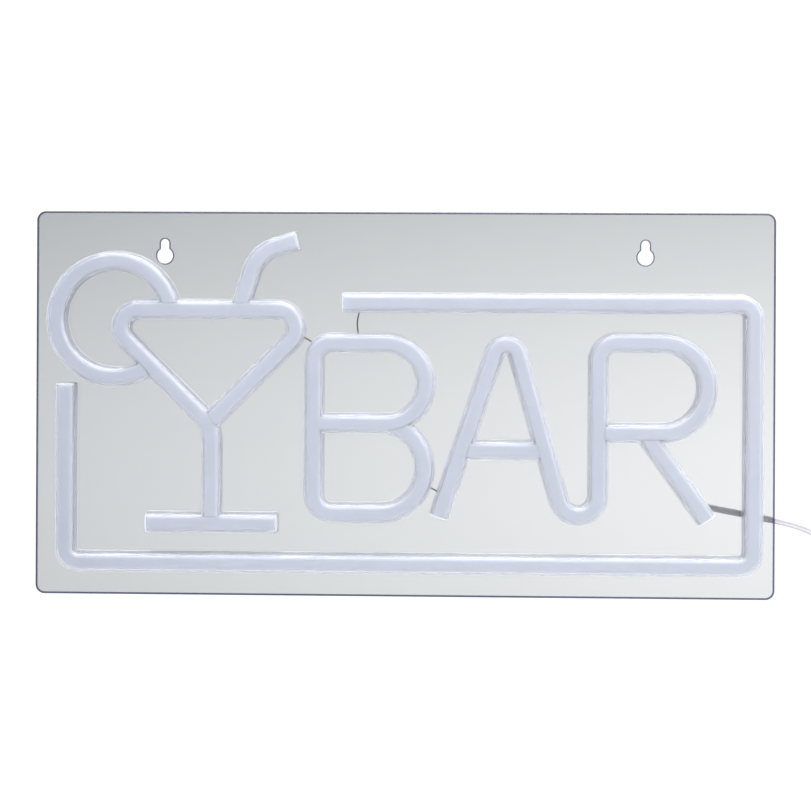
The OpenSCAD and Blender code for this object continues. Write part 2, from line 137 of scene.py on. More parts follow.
R_BAR_TIP = line((125, R_BAR), (R_STEM, R_BAR))
A_BAR = line((32, -24), (77, -24))
R_LEG = line((129.5, -14.3), (162.3, -59.9))

# One row a stroke: its centrelines (the first is continuous, and the others butt against it),
# whether each end of the first is free, and the stroke that cuts its ends
STROKES = {
    "frame": ([FRAME], (True, True), None),
    "slice": ([SLICE], (False, False), GLASS),
    "glass": ([GLASS, GLASS_TIP], (False, False), GLASS_FOOT),
    "straw": ([STRAW], (False, True), GLASS),
    "foot": ([GLASS_FOOT], (True, True), None),
    "b": ([LETTER_B, B_BAR_TIP, B_BOWL_TIP], (False, False), None),
    "ar": ([LETTERS_AR, R_BAR_TIP], (True, False), None),
    "a_bar": ([A_BAR], (False, False), LETTERS_AR),
    "r_leg": ([R_LEG], (False, True), LETTERS_AR),
}


# ---- Mesh helpers ----

def link(name, mesh):
    obj = bpy.data.objects.new(name, mesh)
    bpy.context.scene.collection.objects.link(obj)
    return obj


def mesh_object(name, bm):
    bmesh.ops.recalc_face_normals(bm, faces=bm.faces)
    mesh = bpy.data.meshes.new(name)
    bm.to_mesh(mesh)
    bm.free()
    return link(name, mesh)


def skin(bm, rings, closed=False):
    """Joins rings of points, each a list of vectors, into a tube with flat ends."""
    loops = [[bm.verts.new(p) for p in ring] for ring in rings]
    pairs = list(zip(loops, loops[1:]))
    if closed:
        pairs.append((loops[-1], loops[0]))
    for a, b in pairs:
        for i in range(len(a)):
            j = (i + 1) % len(a)
            bm.faces.new((a[i], a[j], b[j], b[i]))
    if not closed:
        bm.faces.new(loops[0][::-1])
        bm.faces.new(loops[-1])


def rounded(vertices, steps=4):
    """A closed outline through (x, y, radius) with each corner rounded in equal steps."""
    points = []
    for i, b in enumerate(vertices):
        if b[2] == 0:
            points.append(b[:2])
        else:
            after = vertices[(i + 1) % len(vertices)]
            points += [p[:2] for p in corner(vertices[i - 1], b, after, steps)]
    return points


def stations(path, free, reach, radius):
    """Stations (x, y, heading, inset) along a path, longer by reach at its free ends, where the
    inset grows round an edge of that radius."""
    made = [(*p, 0.0) for p in path]
    for end, sign in ((0, -1), (-1, 1)):
        if not free[end]:
            continue
        x, y, h, _ = made[end]
        edge = []
        for k in range(END_STEPS + 1):
            t = math.pi / 2 * k / END_STEPS
            out = sign * (reach - radius * (1 - math.sin(t)))
            edge.append((x + out * math.cos(h), y + out * math.sin(h), h,
                         radius * (1 - math.cos(t))))
        made = edge[::-1] + made[1:] if end == 0 else made[:-1] + edge
    return made


def sweep(bm, spots, profile):
    """Sweeps profile(inset), a closed list of (across, depth), along stations."""
    rings = []
    for x, y, h, inset in spots:
        rings.append([row(x - u * math.sin(h), y + u * math.cos(h), d) for u, d in profile(inset)])
    skin(bm, rings)


def smooth_route(route, n):
    """Points on a Catmull-Rom curve through a route of (x, y, depth), n to each of its spans."""
    v = [row(*p) for p in route]
    last = len(v) - 1
    points = []
    for i in range(last):
        a, b, c, d = v[max(i - 1, 0)], v[i], v[i + 1], v[min(i + 2, last)]
        for k in range(n):
            t = k / n
            points.append(0.5 * (2 * b + (c - a) * t + (2 * a - 5 * b + 4 * c - d) * t * t
                                 + (3 * b - a - 3 * c + d) * t ** 3))
    return points + [v[last]]


def frames_along(points):
    """A frame (point, across, out) at each point, with across in the drawing plane."""
    made = []
    last = len(points) - 1
    for i, p in enumerate(points):
        ahead = (points[min(i + 1, last)] - points[max(i - 1, 0)]).normalized()
        across = Vector((0, -1, 0)).cross(ahead).normalized()
        made.append((p, across, ahead.cross(across)))
    return made


def sweep_frames(bm, spots, section, closed=False):
    """Sweeps a closed section of (across, out), in millimetres, along frames."""
    skin(bm, [[p + (u * across + v * out) * MM for u, v in section] for p, across, out in spots],
         closed)


def ellipse(w, t, n):
    """A closed section w across and t thick."""
    return [(w / 2 * math.cos(math.tau * k / n), t / 2 * math.sin(math.tau * k / n))
            for k in range(n)]


def loft(bm, place, levels, outline):
    """Joins outline(inset), closed lists of (x, y), at (depth, inset) levels about a place."""
    x0, y0, d0 = place
    skin(bm, [[row(x0 + x, y0 + y, d0 + depth) for x, y in outline(inset)]
              for depth, inset in levels])


def lofted(name, place, levels, outline):
    bm = bmesh.new()
    loft(bm, place, levels, outline)
    return mesh_object(name, bm)


def box_outline(w, h, r, steps=6):
    """A function that gives a rounded rectangle's outline for an inset."""
    def outline(inset):
        a, b, c = w / 2 - inset, h / 2 - inset, max(r - inset, 0.05)
        return rounded([(-a, -b, c), (a, -b, c), (a, b, c), (-a, b, c)], steps)
    return outline


def circle_outline(r, n=32):
    def outline(inset):
        return [((r - inset) * math.cos(math.tau * k / n), (r - inset) * math.sin(math.tau * k / n))
                for k in range(n)]
    return outline


def edge_levels(low, high, radius, steps=5):
    """Levels (depth, inset) of a straight side whose edge at high is rounded."""
    sign = math.copysign(1, high - low)
    turn = [math.pi / 2 * k / steps for k in range(steps + 1)]
    return [(low, 0.0)] + [(high - sign * radius * (1 - math.sin(t)), radius * (1 - math.cos(t)))
                           for t in turn]


def swept(name, path, free, reach, radius, profile):
    bm = bmesh.new()
    sweep(bm, stations(path, free, reach, radius), profile)
    return mesh_object(name, bm)


def combine(obj, others, operation):
    """Unites or cuts obj with the other objects, which are then removed."""
    for other in others:
        step = obj.modifiers.new("step", "BOOLEAN")
        step.operation = operation
        step.solver = "MANIFOLD"
        step.object = other
    bake(obj)
    for other in others:
        bpy.data.objects.remove(other)


def bake(obj):
    """Applies every modifier of obj."""
    bpy.context.view_layer.update()
    evaluated = obj.evaluated_get(bpy.context.evaluated_depsgraph_get())
    mesh = bpy.data.meshes.new_from_object(evaluated)
    obj.modifiers.clear()
    obj.data = mesh


def smooth(obj, angle=30):
    """Smooth shading that keeps flat faces flat and edges over the angle sharp."""
    obj.data.shade_smooth()
    obj.data.set_sharp_from_angle(angle=math.radians(angle))
    weighted = obj.modifiers.new("weighted", "WEIGHTED_NORMAL")
    weighted.keep_sharp = True


def finish_piece(obj, look, replaced=(), body="sign", angle=30):
    """Shades a piece, gives it its material, body and slot, and hides the nodes it replaces."""
    smooth(obj, angle)
    obj.data.materials.clear()
    obj.data.materials.append(look)
    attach(obj, body)
    if replaced:
        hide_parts(*replaced)
    return obj


def unite_islands(name, parts):
    """One object from several separate ones."""
    bm = bmesh.new()
    for part in parts:
        bm.from_mesh(part.data)
        bpy.data.objects.remove(part)
    return mesh_object(name, bm)


# ---- Materials ----

def material(name):
    made = bpy.data.materials.new(name)
    made.use_nodes = True
    nodes = made.node_tree.nodes
    return made, nodes, made.node_tree.links, nodes["Principled BSDF"]


def coordinates(nodes, links, scale=(1, 1, 1)):
    where = nodes.new("ShaderNodeTexCoord")
    mapping = nodes.new("ShaderNodeMapping")
    mapping.inputs["Scale"].default_value = scale
    links.new(where.outputs["Object"], mapping.inputs["Vector"])
    return mapping.outputs["Vector"]


def noise(nodes, links, scale, detail=3.0, stretch=(1, 1, 1)):
    made = nodes.new("ShaderNodeTexNoise")
    made.inputs["Scale"].default_value = scale
    made.inputs["Detail"].default_value = detail
    links.new(coordinates(nodes, links, stretch), made.inputs["Vector"])
    return made.outputs["Fac"]


def ramp(nodes, links, factor, stops):
    made = nodes.new("ShaderNodeValToRGB")
    band = made.color_ramp
    while len(band.elements) < len(stops):
        band.elements.new(0.5)
    for element, (at, colour) in zip(band.elements, stops):
        element.position = at
        element.color = (*colour, 1)
    links.new(factor, made.inputs["Fac"])
    return made.outputs["Color"]


def grade(nodes, links, factor, low, high):
    made = nodes.new("ShaderNodeMapRange")
    made.inputs["To Min"].default_value = low
    made.inputs["To Max"].default_value = high
    links.new(factor, made.inputs["Value"])
    return made.outputs["Result"]


def bump(nodes, links, shader, height, strength, distance):
    made = nodes.new("ShaderNodeBump")
    made.inputs["Strength"].default_value = strength
    made.inputs["Distance"].default_value = distance
    links.new(height, made.inputs["Height"])
    links.new(made.outputs["Normal"], shader.inputs["Normal"])


def from_point(nodes, links, point, reach):
    """Distance from a point, in units of reach along each axis (None leaves an axis out)."""
    where = nodes.new("ShaderNodeTexCoord")
    mapping = nodes.new("ShaderNodeMapping")
    scale = [0 if r is None else 1 / r for r in reach]
    mapping.inputs["Scale"].default_value = scale
    mapping.inputs["Location"].default_value = [-p * k for p, k in zip(point, scale)]
    length = nodes.new("ShaderNodeVectorMath")
    length.operation = "LENGTH"
    links.new(where.outputs["Object"], mapping.inputs["Vector"])
    links.new(mapping.outputs["Vector"], length.inputs[0])
    return length.outputs["Value"]


# Painted shade on the clear parts: their colour darkens with the distance from a point past the sheet's
# right edge
CLEAR_SHADE_FROM = (487, -43)
CLEAR_SHADE_REACH = (1.229, None, 0.293)
# Painted shade on the milky tubes: graded greyer along x alone, from the sheet's right edge to its left
TUBE_SHADE_FROM = (200, 0)
TUBE_SHADE_REACH = (0.4, None, None)
ACRYLIC_IOR = 1.49


def clear_look(name, pale, deep, rough, ripple=0.05, through=1.0):
    """Clear plastic with painted shade: palest at the right of the panel and darker towards its upper
    left.
    """
    made, nodes, links, shader = material(name)
    away = from_point(nodes, links, row(*CLEAR_SHADE_FROM), CLEAR_SHADE_REACH)
    links.new(ramp(nodes, links, away, [(0.0, pale), (1.0, deep)]), shader.inputs["Base Color"])
    haze = noise(nodes, links, 40, 4)
    links.new(grade(nodes, links, haze, 0.0, rough), shader.inputs["Roughness"])
    shader.inputs["Transmission Weight"].default_value = through
    shader.inputs["IOR"].default_value = ACRYLIC_IOR
    if ripple:
        bump(nodes, links, shader, noise(nodes, links, 18, 1), ripple, 0.0005)
    return made


def milky_silicone():
    """Milky tube stock with a faint mottle, and painted shade that makes it a little greyer towards the
    sheet's left edge.
    """
    made, nodes, links, shader = material("milky_silicone")
    mottle = noise(nodes, links, 60, 4)
    mottle_and_shade = nodes.new("ShaderNodeMath")
    mottle_and_shade.operation = "MULTIPLY_ADD"
    mottle_and_shade.inputs[1].default_value = 0.1
    links.new(mottle, mottle_and_shade.inputs[0])
    links.new(from_point(nodes, links, row(*TUBE_SHADE_FROM), TUBE_SHADE_REACH), mottle_and_shade.inputs[2])
    # The last, greyer stop is the painted shade at the sheet's left edge; the mottle is the stock's own
    # tone
    colour = ramp(nodes, links, mottle_and_shade.outputs["Value"],
                  [(0.0, (0.88, 0.895, 0.935)), (0.80, (0.855, 0.872, 0.915)),
                   (1.0, (0.71, 0.735, 0.79))])
    links.new(colour, shader.inputs["Base Color"])
    links.new(grade(nodes, links, mottle, 0.32, 0.45), shader.inputs["Roughness"])
    shader.inputs["Subsurface Weight"].default_value = 0.25
    shader.inputs["Subsurface Radius"].default_value = (1.0, 1.0, 1.0)
    shader.inputs["Subsurface Scale"].default_value = 0.0015
    bump(nodes, links, shader, noise(nodes, links, 900, 2), 0.08, 0.0002)
    return made


def mottled(name, low, high, roughness, scale=200.0, metallic=0.0, depth=0.0001, strength=0.2,
            stretch=(1, 1, 1)):
    """Plastic or metal whose colour and gloss vary slightly over a noise."""
    made, nodes, links, shader = material(name)
    grain = noise(nodes, links, scale, 4, stretch)
    links.new(ramp(nodes, links, grain, [(0.3, low), (0.7, high)]), shader.inputs["Base Color"])
    links.new(grade(nodes, links, grain, *roughness), shader.inputs["Roughness"])
    shader.inputs["Metallic"].default_value = metallic
    bump(nodes, links, shader, grain, strength, depth)
    return made


# ---- Panel ----

PANEL_LOW, PANEL_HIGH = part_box("panel")
HALF_W = (PANEL_HIGH[0] - PANEL_LOW[0]) / MM / 2
HALF_H = (PANEL_HIGH[2] - PANEL_LOW[2]) / MM / 2
RIM_EDGE = 1.0
FOOT_R = 0.6
CHANNEL_DRAFT = 0.1
CHANNEL_EDGE = 2.4
CAVITY_EDGE = 1.6
TUBE_EDGE = 1.8
KEYHOLE_CHAMFER = 0.6
KEYHOLE_FRINGE = 0.5
SMALL_FACE = 4e-6


def plate(name):
    """The flat sheet, with round corners and a softly rounded rim."""
    rim = [(RIM_EDGE * (1 - math.cos(math.pi * k / 8)), RIM_EDGE * (1 - math.sin(math.pi * k / 8)))
           for k in range(5)]
    levels = rim + [(SHEET_T - d, inset) for d, inset in rim[::-1]]
    bm = bmesh.new()
    rings = []
    for depth, inset in levels:
        w, h, r = HALF_W - inset, HALF_H - inset, PANEL_CORNER_R - inset
        outline = rounded([(-w, -h, r), (w, -h, r), (w, h, r), (-w, h, r)], 12)
        rings.append([row(x, y, depth) for x, y in outline])
    skin(bm, rings)
    return mesh_object(name, bm)


def channel_profile(inset):
    """Outside of a channel: a drafted wall, a small fillet at the sheet and a round front edge."""
    foot = FOOT_R
    low, high = CHANNEL_HALF - inset, CHANNEL_HALF - CHANNEL_DRAFT - inset
    front, sheet = CHANNEL_FRONT - inset, SHEET_T - 0.01
    half = [(low + foot, SHEET_T / 2, 0), (low + foot, sheet, 0), (low, sheet, foot - 0.01),
            (high, front, CHANNEL_EDGE)]
    return rounded(half + [(-u, d, r) for u, d, r in half[::-1]], 6)


def cavity_profile(inset):
    half, front = CAVITY_HALF - inset, CAVITY_FRONT - inset
    return rounded([(half, -1, 0), (half, front, CAVITY_EDGE), (-half, front, CAVITY_EDGE),
                    (-half, -1, 0)])


def cutter_profile(_):
    """A straight-sided band, one gap wider than a tube, that trims the tubes butting against it."""
    half = DIFFUSER_HALF + BUTT_GAP
    return [(half, -1), (half, CHANNEL_FRONT), (-half, CHANNEL_FRONT), (-half, -1)]


def keyhole_outline(x, outset):
    """A round opening with a slot above it, outset all round."""
    big, small = KEYHOLE_R + outset, SLOT_R + outset
    meet = math.asin(small / big)
    slot = [math.pi * k / 16 for k in range(17)]
    hole = [math.pi / 2 + meet + (math.tau - 2 * meet) * k / 40 for k in range(41)]
    points = [(x + small * math.cos(a), KEYHOLE_RISE + SLOT_RISE + small * math.sin(a)) for a in slot]
    return points + [(x + big * math.cos(a), KEYHOLE_RISE + big * math.sin(a)) for a in hole]


def keyhole(name, x):
    """A cutter for a keyhole at x, chamfered at both faces of the sheet."""
    low, high = KEYHOLE_CHAMFER, SHEET_T - KEYHOLE_CHAMFER
    levels = [(-1, 1 + low), (low, 0), (high, 0), (SHEET_T + 1, 1 + low)]
    bm = bmesh.new()
    skin(bm, [[row(*p, depth) for p in keyhole_outline(x, outset)] for depth, outset in levels])
    return mesh_object(name, bm)


def make_panel(looks):
    """The moulding: sheet, channels and keyholes. Its looks are in the order of panel_region."""
    outside, hollow = [], []
    for name, (paths, free, _) in STROKES.items():
        for i, path in enumerate(paths):
            ends = free if i == 0 else (False, False)
            outside.append(swept(f"channel_{name}{i}", path, ends, FIT_GAP + END_WALL, 1.2,
                                 channel_profile))
            hollow.append(swept(f"cavity_{name}{i}", path, ends, FIT_GAP, 0.2, cavity_profile))
    panel = plate("clear_panel")
    combine(panel, outside, "UNION")
    for side in (-1, 1):
        hollow.append(keyhole(f"keyhole{side}", side * KEYHOLE_SPACING / 2))
    combine(panel, hollow, "DIFFERENCE")
    finish_piece(panel, looks[0], ["panel"])
    for other in looks[1:]:
        panel.data.materials.append(other)
    for face in panel.data.polygons:
        face.material_index = panel_region(face)
    return panel


def panel_region(face):
    """Which of the panel's looks a face takes: 0 sheet, 1 cut edge, painted near black as a dark
    outline of shade, 2 channel wall, 3 its foot, painted darker as a line of shade.
    """
    x, y, depth = face.center.x / MM, face.center.z / MM + KEYHOLE_RISE, -face.center.y / MM
    past_x, past_y = abs(x) - HALF_W + RIM_EDGE, abs(y) - HALF_H + RIM_EDGE
    round_x, round_y = past_x + PANEL_CORNER_R - RIM_EDGE, past_y + PANEL_CORNER_R - RIM_EDGE
    in_corner = min(round_x, round_y) > 0
    if max(past_x, past_y) > 0 or (
            in_corner and math.hypot(round_x, round_y) > PANEL_CORNER_R - RIM_EDGE):
        return 1
    keyhole_x, keyhole_y = abs(abs(x) - KEYHOLE_SPACING / 2), y - KEYHOLE_RISE
    reach, top = KEYHOLE_R + KEYHOLE_FRINGE, SLOT_RISE + SLOT_R + 1.5 * KEYHOLE_CHAMFER
    beside = keyhole_x < reach and -reach < keyhole_y < top
    if beside and face.area < SMALL_FACE:
        return 1
    if depth > SHEET_T + FOOT_R * 0.8:
        return 2
    if depth > SHEET_T + 0.005 and abs(face.normal.y) > 0.05:
        return 3
    return 0


# ---- Diffusers ----

def diffuser_profile(inset):
    """A tube with a round front and a groove in its back."""
    half, back, front = DIFFUSER_HALF - inset, DIFFUSER_BACK, DIFFUSER_FRONT - inset
    return rounded([(-GROOVE_HALF, back, 0), (-GROOVE_HALF, GROOVE_FRONT, 0.2),
                    (GROOVE_HALF, GROOVE_FRONT, 0.2), (GROOVE_HALF, back, 0), (half, back, 0.2),
                    (half, front, TUBE_EDGE), (-half, front, TUBE_EDGE), (-half, back, 0.2)], 6)


def make_diffuser(name, look):
    paths, free, cut_by = STROKES[name]
    parts = []
    for i, path in enumerate(paths):
        ends = free if i == 0 else (False, False)
        part = swept(f"part_{name}{i}", path, ends, 0, 0.3, diffuser_profile)
        against = cut_by if i == 0 else paths[0]
        if against:
            cutter = swept("cutter", against, (False, False), 0, 0, cutter_profile)
            combine(part, [cutter], "DIFFERENCE")
        parts.append(part)
    piece = unite_islands(f"tube_{name}", parts)
    return finish_piece(piece, look, [f"diffuser_{name}"])


# ---- LED strips, wires and solder ----

def run_spots(path, start, pitch):
    """Spots (x, y, heading) along a path every pitch, the first at the distance start."""
    made, travelled, due = [], 0.0, start
    for a, b in zip(path, path[1:]):
        span = math.dist(a[:2], b[:2])
        while travelled + span >= due:
            f = (due - travelled) / span
            made.append((a[0] + f * (b[0] - a[0]), a[1] + f * (b[1] - a[1]), heading(a, b)))
            due += pitch
        travelled += span
    return made


def pad(bm, x, y, angle, size, depth, height):
    """A small flat pad with round corners that stands out from a strip's back."""
    c, s = math.cos(angle), math.sin(angle)
    base = box_outline(size[0], size[1], min(size) * 0.25, 3)(0)
    rings = []
    for level, scale in ((depth, 1), (depth - height, 1), (depth - height * 1.2, 0.94)):
        rings.append([row(x + scale * (u * c - v * s), y + scale * (u * s + v * c), level)
                      for u, v in base])
    skin(bm, rings)


def make_pads(name, look):
    """Copper cut pads in pairs, each side of every third LED's cut line, on a strip's back."""
    bm = bmesh.new()
    for path in STROKES[name][0]:
        for x, y, h in run_spots(path, 1.5 * LED_PITCH, 3 * LED_PITCH):
            for along in (-1.25, 1.25):
                for side in (-1.6, 1.6):
                    px = x + along * math.cos(h) - side * math.sin(h)
                    py = y + along * math.sin(h) + side * math.cos(h)
                    pad(bm, px, py, h, (1.7, 1.9), STRIP_BACK, 0.035)
    return finish_piece(mesh_object(f"pads_{name}", bm), look)


WIRE_DEPTH = -0.5
WIRE_D = 0.8
WIRES = {
    "frame_b": [(-23, 54.5), (-25.4, 44), (-23.8, 33.6)],
    "glass_b": [(-58.5, 38), (-51.4, 34.4), (-45.7, 30.2)],
    "b_a": [(9.9, -43), (16.4, -45.9), (23, -49.8)],
}
# Solder bridges (x, y, angle) where one strip butts against another
BRIDGES = [(-126.5, 54.8, 107), (-87.7, 54.8, 72), (STEM, -60.2, 90), (36, -24, 0),
           (132.2, -18.1, -54)]


def make_wire(name, look):
    bm = bmesh.new()
    points = smooth_route([(x, y, WIRE_DEPTH) for x, y in WIRES[name]], 12)
    sweep_frames(bm, frames_along(points), ellipse(WIRE_D * 0.96, WIRE_D * 0.96, 14))
    return finish_piece(mesh_object(f"jumper_{name}", bm), look, [f"wire_{name}"])


def blob(bm, x, y, angle, length, width, back, front):
    """A smooth lump of solder, flat against a strip at the depth front and domed towards back."""
    c, s = math.cos(math.radians(angle)), math.sin(math.radians(angle))
    rings = []
    for k in range(7):
        t = math.pi / 2 * k / 6
        scale, depth = math.cos(t) * 0.98 + 0.02, front + (back - front) * math.sin(t)
        ring = []
        for j in range(24):
            a = math.tau * j / 24
            wave = 1 + 0.05 * math.sin(3 * a + x)
            u, v = length / 2 * scale * wave * math.cos(a), width / 2 * scale * wave * math.sin(a)
            ring.append(row(x + u * c - v * s, y + u * s + v * c, depth))
        rings.append(ring)
    skin(bm, rings)


def make_solder(look):
    joints = bmesh.new()
    for route in WIRES.values():
        for x, y in (route[0], route[-1]):
            blob(joints, x, y, 0, 2.2, 2.0, WIRE_DEPTH - 0.35, STRIP_BACK)
    finish_piece(mesh_object("solder_blobs", joints), look, ["solder_joints"])
    bridges = bmesh.new()
    for x, y, angle in BRIDGES:
        blob(bridges, x, y, angle, 4.2, 2.1, 0.06, STRIP_BACK)
    finish_piece(mesh_object("solder_straps", bridges), look, ["solder_bridges"])


# ---- Lead, its anchor and the tie round its coil ----

LEAD_W = 3.5
LEAD_T = 1.8
ANCHOR_AT = (157, -53)
ANCHOR_SLOPE = math.radians(-11)
LEAD_ROUTE = [(161.4, -53.9, -1.1), (170, -55.6, -1.1), (180, -57.5, -1.1), (190, -59.5, -1.1),
              (200, -61.4, -1.1), (209, -63.4, -0.6), (218, -66.4, 0.6), (226.5, -71, 2),
              (233.5, -77, 3.4), (238.5, -83.3, 4.5), (242.4, -88.1, 5.1), (246, -90.3, 5.2),
              (250.2, -90.8, 5.2)]
COIL_CENTRE = (248, -118, 5.2)
COIL_R = 20
COIL_PITCH = 3.6
TAIL_X = COIL_CENTRE[0] + COIL_R + COIL_PITCH
HANG_DEPTH = COIL_CENTRE[2]
SWITCH_TOP = -150
SWITCH_LEN = 48
SWITCH = (TAIL_X, SWITCH_TOP - SWITCH_LEN / 2, HANG_DEPTH)
PLUG_TOP = -216


def coil_route():
    """The coil's turns, clockwise from its top: inwards at the back, then out layer by layer."""
    inner, middle, outer = COIL_R - COIL_PITCH, COIL_R, COIL_R + COIL_PITCH
    columns = [(k - 1.5) * COIL_PITCH for k in range(4)]
    start = math.hypot(LEAD_ROUTE[-1][0] - COIL_CENTRE[0], LEAD_ROUTE[-1][1] - COIL_CENTRE[1])
    keys = [(0, start, 0), (0.12, start, -1.5), (0.3, outer + 1, columns[0]), (0.9, inner, columns[0])]
    turns = [(inner, 1), (inner, 2), (inner, 3), (middle, 3), (middle, 2), (middle, 1),
             (outer, 1), (outer, 2), (outer, 3)]
    for k, (r, column) in enumerate(turns):
        keys += [(k + 1, keys[-1][1], keys[-1][2]), (k + 1.14, r, columns[column])]
    first = math.atan2(LEAD_ROUTE[-1][1] - COIL_CENTRE[1], LEAD_ROUTE[-1][0] - COIL_CENTRE[0])
    total = len(turns) + 1 + first / math.tau
    keys.append((total, *keys[-1][1:]))
    steps = round(total * 40)
    route = []
    for i in range(1, steps + 1):
        u = total * i / steps
        before = max(k for k in range(len(keys) - 1) if keys[k][0] < u)
        (u0, r0, d0), (u1, r1, d1) = keys[before], keys[before + 1]
        f = (u - u0) / (u1 - u0)
        f = f * f * (3 - 2 * f)
        r, d, a = r0 + f * (r1 - r0), d0 + f * (d1 - d0), first - math.tau * u
        route.append((COIL_CENTRE[0] + r * math.cos(a), COIL_CENTRE[1] + r * math.sin(a),
                      COIL_CENTRE[2] + d))
    return route


def lead_points():
    """The whole lead's middle line: behind the panel, round its coil, through the switch and
    into the plug."""
    coil = coil_route()
    front = coil[-1][2]
    tail = [coil[-1], (TAIL_X, -126, front - 0.6), (TAIL_X, -135, (front + HANG_DEPTH) / 2),
            (TAIL_X, -144, HANG_DEPTH), (TAIL_X, SWITCH_TOP - 3, HANG_DEPTH),
            (TAIL_X, SWITCH_TOP - 12, HANG_DEPTH - 2), (TAIL_X, SWITCH_TOP - 36, HANG_DEPTH - 2),
            (TAIL_X, SWITCH_TOP - 45, HANG_DEPTH), (TAIL_X, -207, HANG_DEPTH),
            (TAIL_X, PLUG_TOP - 2, HANG_DEPTH)]
    return smooth_route(LEAD_ROUTE, 5) + [row(*p) for p in coil[:-1]] + smooth_route(tail, 6)


def two_core_section():
    """A flat lead's section: two round cores side by side, with a groove between them."""
    r, apart, reach = LEAD_T / 2, (LEAD_W - LEAD_T) / 2, math.radians(128)
    right = [(apart + r * math.cos(a), r * math.sin(a))
             for a in (reach * (k / 6 - 1) for k in range(13))]
    return right + [(-u, -v) for u, v in right]


def make_lead(look):
    points = lead_points()
    bm = bmesh.new()
    sweep_frames(bm, frames_along(points), two_core_section())
    lead = finish_piece(mesh_object("flat_lead", bm), look,
                        ["lead", "lead_coil", "lead_tail", "lead_end"], angle=60)


def make_anchor(look):
    """A block of glue that holds the lead to its strip, with soft edges and a sagging back."""
    length, width, height = 9, 5, 2.6
    c, s = math.cos(ANCHOR_SLOPE), math.sin(ANCHOR_SLOPE)

    def outline(inset):
        return [(u * c - v * s, u * s + v * c) for u, v in box_outline(length, width, 1.3, 8)(inset)]
    levels = edge_levels(0, -height, 1.1, 8)
    block = lofted("glue_block", (*ANCHOR_AT, 0), levels, outline)
    stem = lofted("glue_stem", (*ANCHOR_AT, 0), [(-0.5, 0), (STRIP_BACK, 0)], circle_outline(2))
    combine(block, [stem], "UNION")
    return finish_piece(block, look, ["lead_anchor"])


RIBBON = [(-2, -0.15), (-0.6, -0.18), (0, -0.4), (0.6, -0.18), (2, -0.15), (2, 0.15),
          (0.6, 0.18), (0, 0.4), (-0.6, 0.18), (-2, 0.15)]
TIE_LOW = COIL_R - 1.5 * COIL_PITCH - 0.6
TIE_HIGH = COIL_R + 1.5 * COIL_PITCH + LEAD_W + 1.4
TIE_TAIL = 11
TIE_TURNS = 2.2


def tie_loop():
    """Frames round the tie's loop, in the plane through the coil's axis and its top."""
    deep, half = 2 * COIL_PITCH + 0.6, (TIE_HIGH - TIE_LOW) / 2
    middle = COIL_CENTRE[1] + (TIE_LOW + TIE_HIGH) / 2
    loop = rounded([(-deep, -half, 3), (deep, -half, 3), (deep, half, 3), (-deep, half, 3)], 8)
    spots = []
    for i, (d, y) in enumerate(loop):
        before, after = loop[i - 1], loop[(i + 1) % len(loop)]
        along = Vector((0, before[0] - after[0], after[1] - before[1])).normalized()
        place = row(COIL_CENTRE[0], middle + y, COIL_CENTRE[2] + d)
        spots.append((place, Vector((1, 0, 0)), along.cross(Vector((1, 0, 0)))))
    return spots


def tie_strand(start):
    """Frames up one of the tie's twisted ends, which part near their tips."""
    spots = []
    for k in range(37):
        f = k / 36
        a = start + math.tau * TIE_TURNS * f
        away = 0.45 + 2.4 * max(0, f - 0.7)
        side = Vector((math.cos(a), math.sin(a), 0))
        place = row(COIL_CENTRE[0], COIL_CENTRE[1] + TIE_HIGH - 0.2 + TIE_TAIL * f, COIL_CENTRE[2])
        spots.append((place + side * away * MM, Vector((-side.y, side.x, 0)), side))
    return spots


def make_tie(look):
    """A flat twist tie with a wire along its middle, round the coil's top, twisted above it."""
    bm = bmesh.new()
    sweep_frames(bm, tie_loop(), RIBBON, closed=True)
    for start in (0, math.pi):
        sweep_frames(bm, tie_strand(start), [(0.55 * u, 0.7 * v) for u, v in RIBBON])
    return finish_piece(mesh_object("twist_tie", bm), look, ["coil_tie"])


# ---- Inline switch ----

SWITCH_W = 15
SWITCH_T = 11
SWITCH_WALL = 1.5
SWITCH_CORNER = 4
SCREW_Y = 17
SCREW_D = 1.9
HEAD_D = 3.6
HEAD_T = 1.2
ROCKER_W = 8
ROCKER_HALF = 5.8
PIVOT_DEPTH = 2.9
PIN_D = 1.5
ROCKER_REST = math.radians(6)
MARK_Y = 3.2


def mirrored(levels, sign):
    return [(sign * depth, inset) for depth, inset in levels]


def shell_half(name, sign):
    """One half of the housing, hollow, with a soft edge and a cable way at each end."""
    half_t = SWITCH_T / 2
    outside = [(0.02, 0.25)] + edge_levels(0.22, half_t, 2.2, 8)
    half = lofted(name, SWITCH, mirrored(outside, sign),
                  box_outline(SWITCH_W, SWITCH_LEN, SWITCH_CORNER, 10))
    inside = edge_levels(-1, half_t - SWITCH_WALL, 1, 4)
    hollow = lofted("hollow", SWITCH, mirrored(inside, sign),
                    box_outline(SWITCH_W - 2 * SWITCH_WALL, SWITCH_LEN - 2 * SWITCH_WALL,
                                SWITCH_CORNER - SWITCH_WALL, 8))
    ways = lofted("ways", SWITCH, [(-(LEAD_T / 2 + 0.1), 0.3), (0, 0), (LEAD_T / 2 + 0.1, 0.3)],
                  box_outline(LEAD_W + 0.4, SWITCH_LEN + 4, 0.4, 3))
    combine(half, [hollow, ways], "DIFFERENCE")
    return half


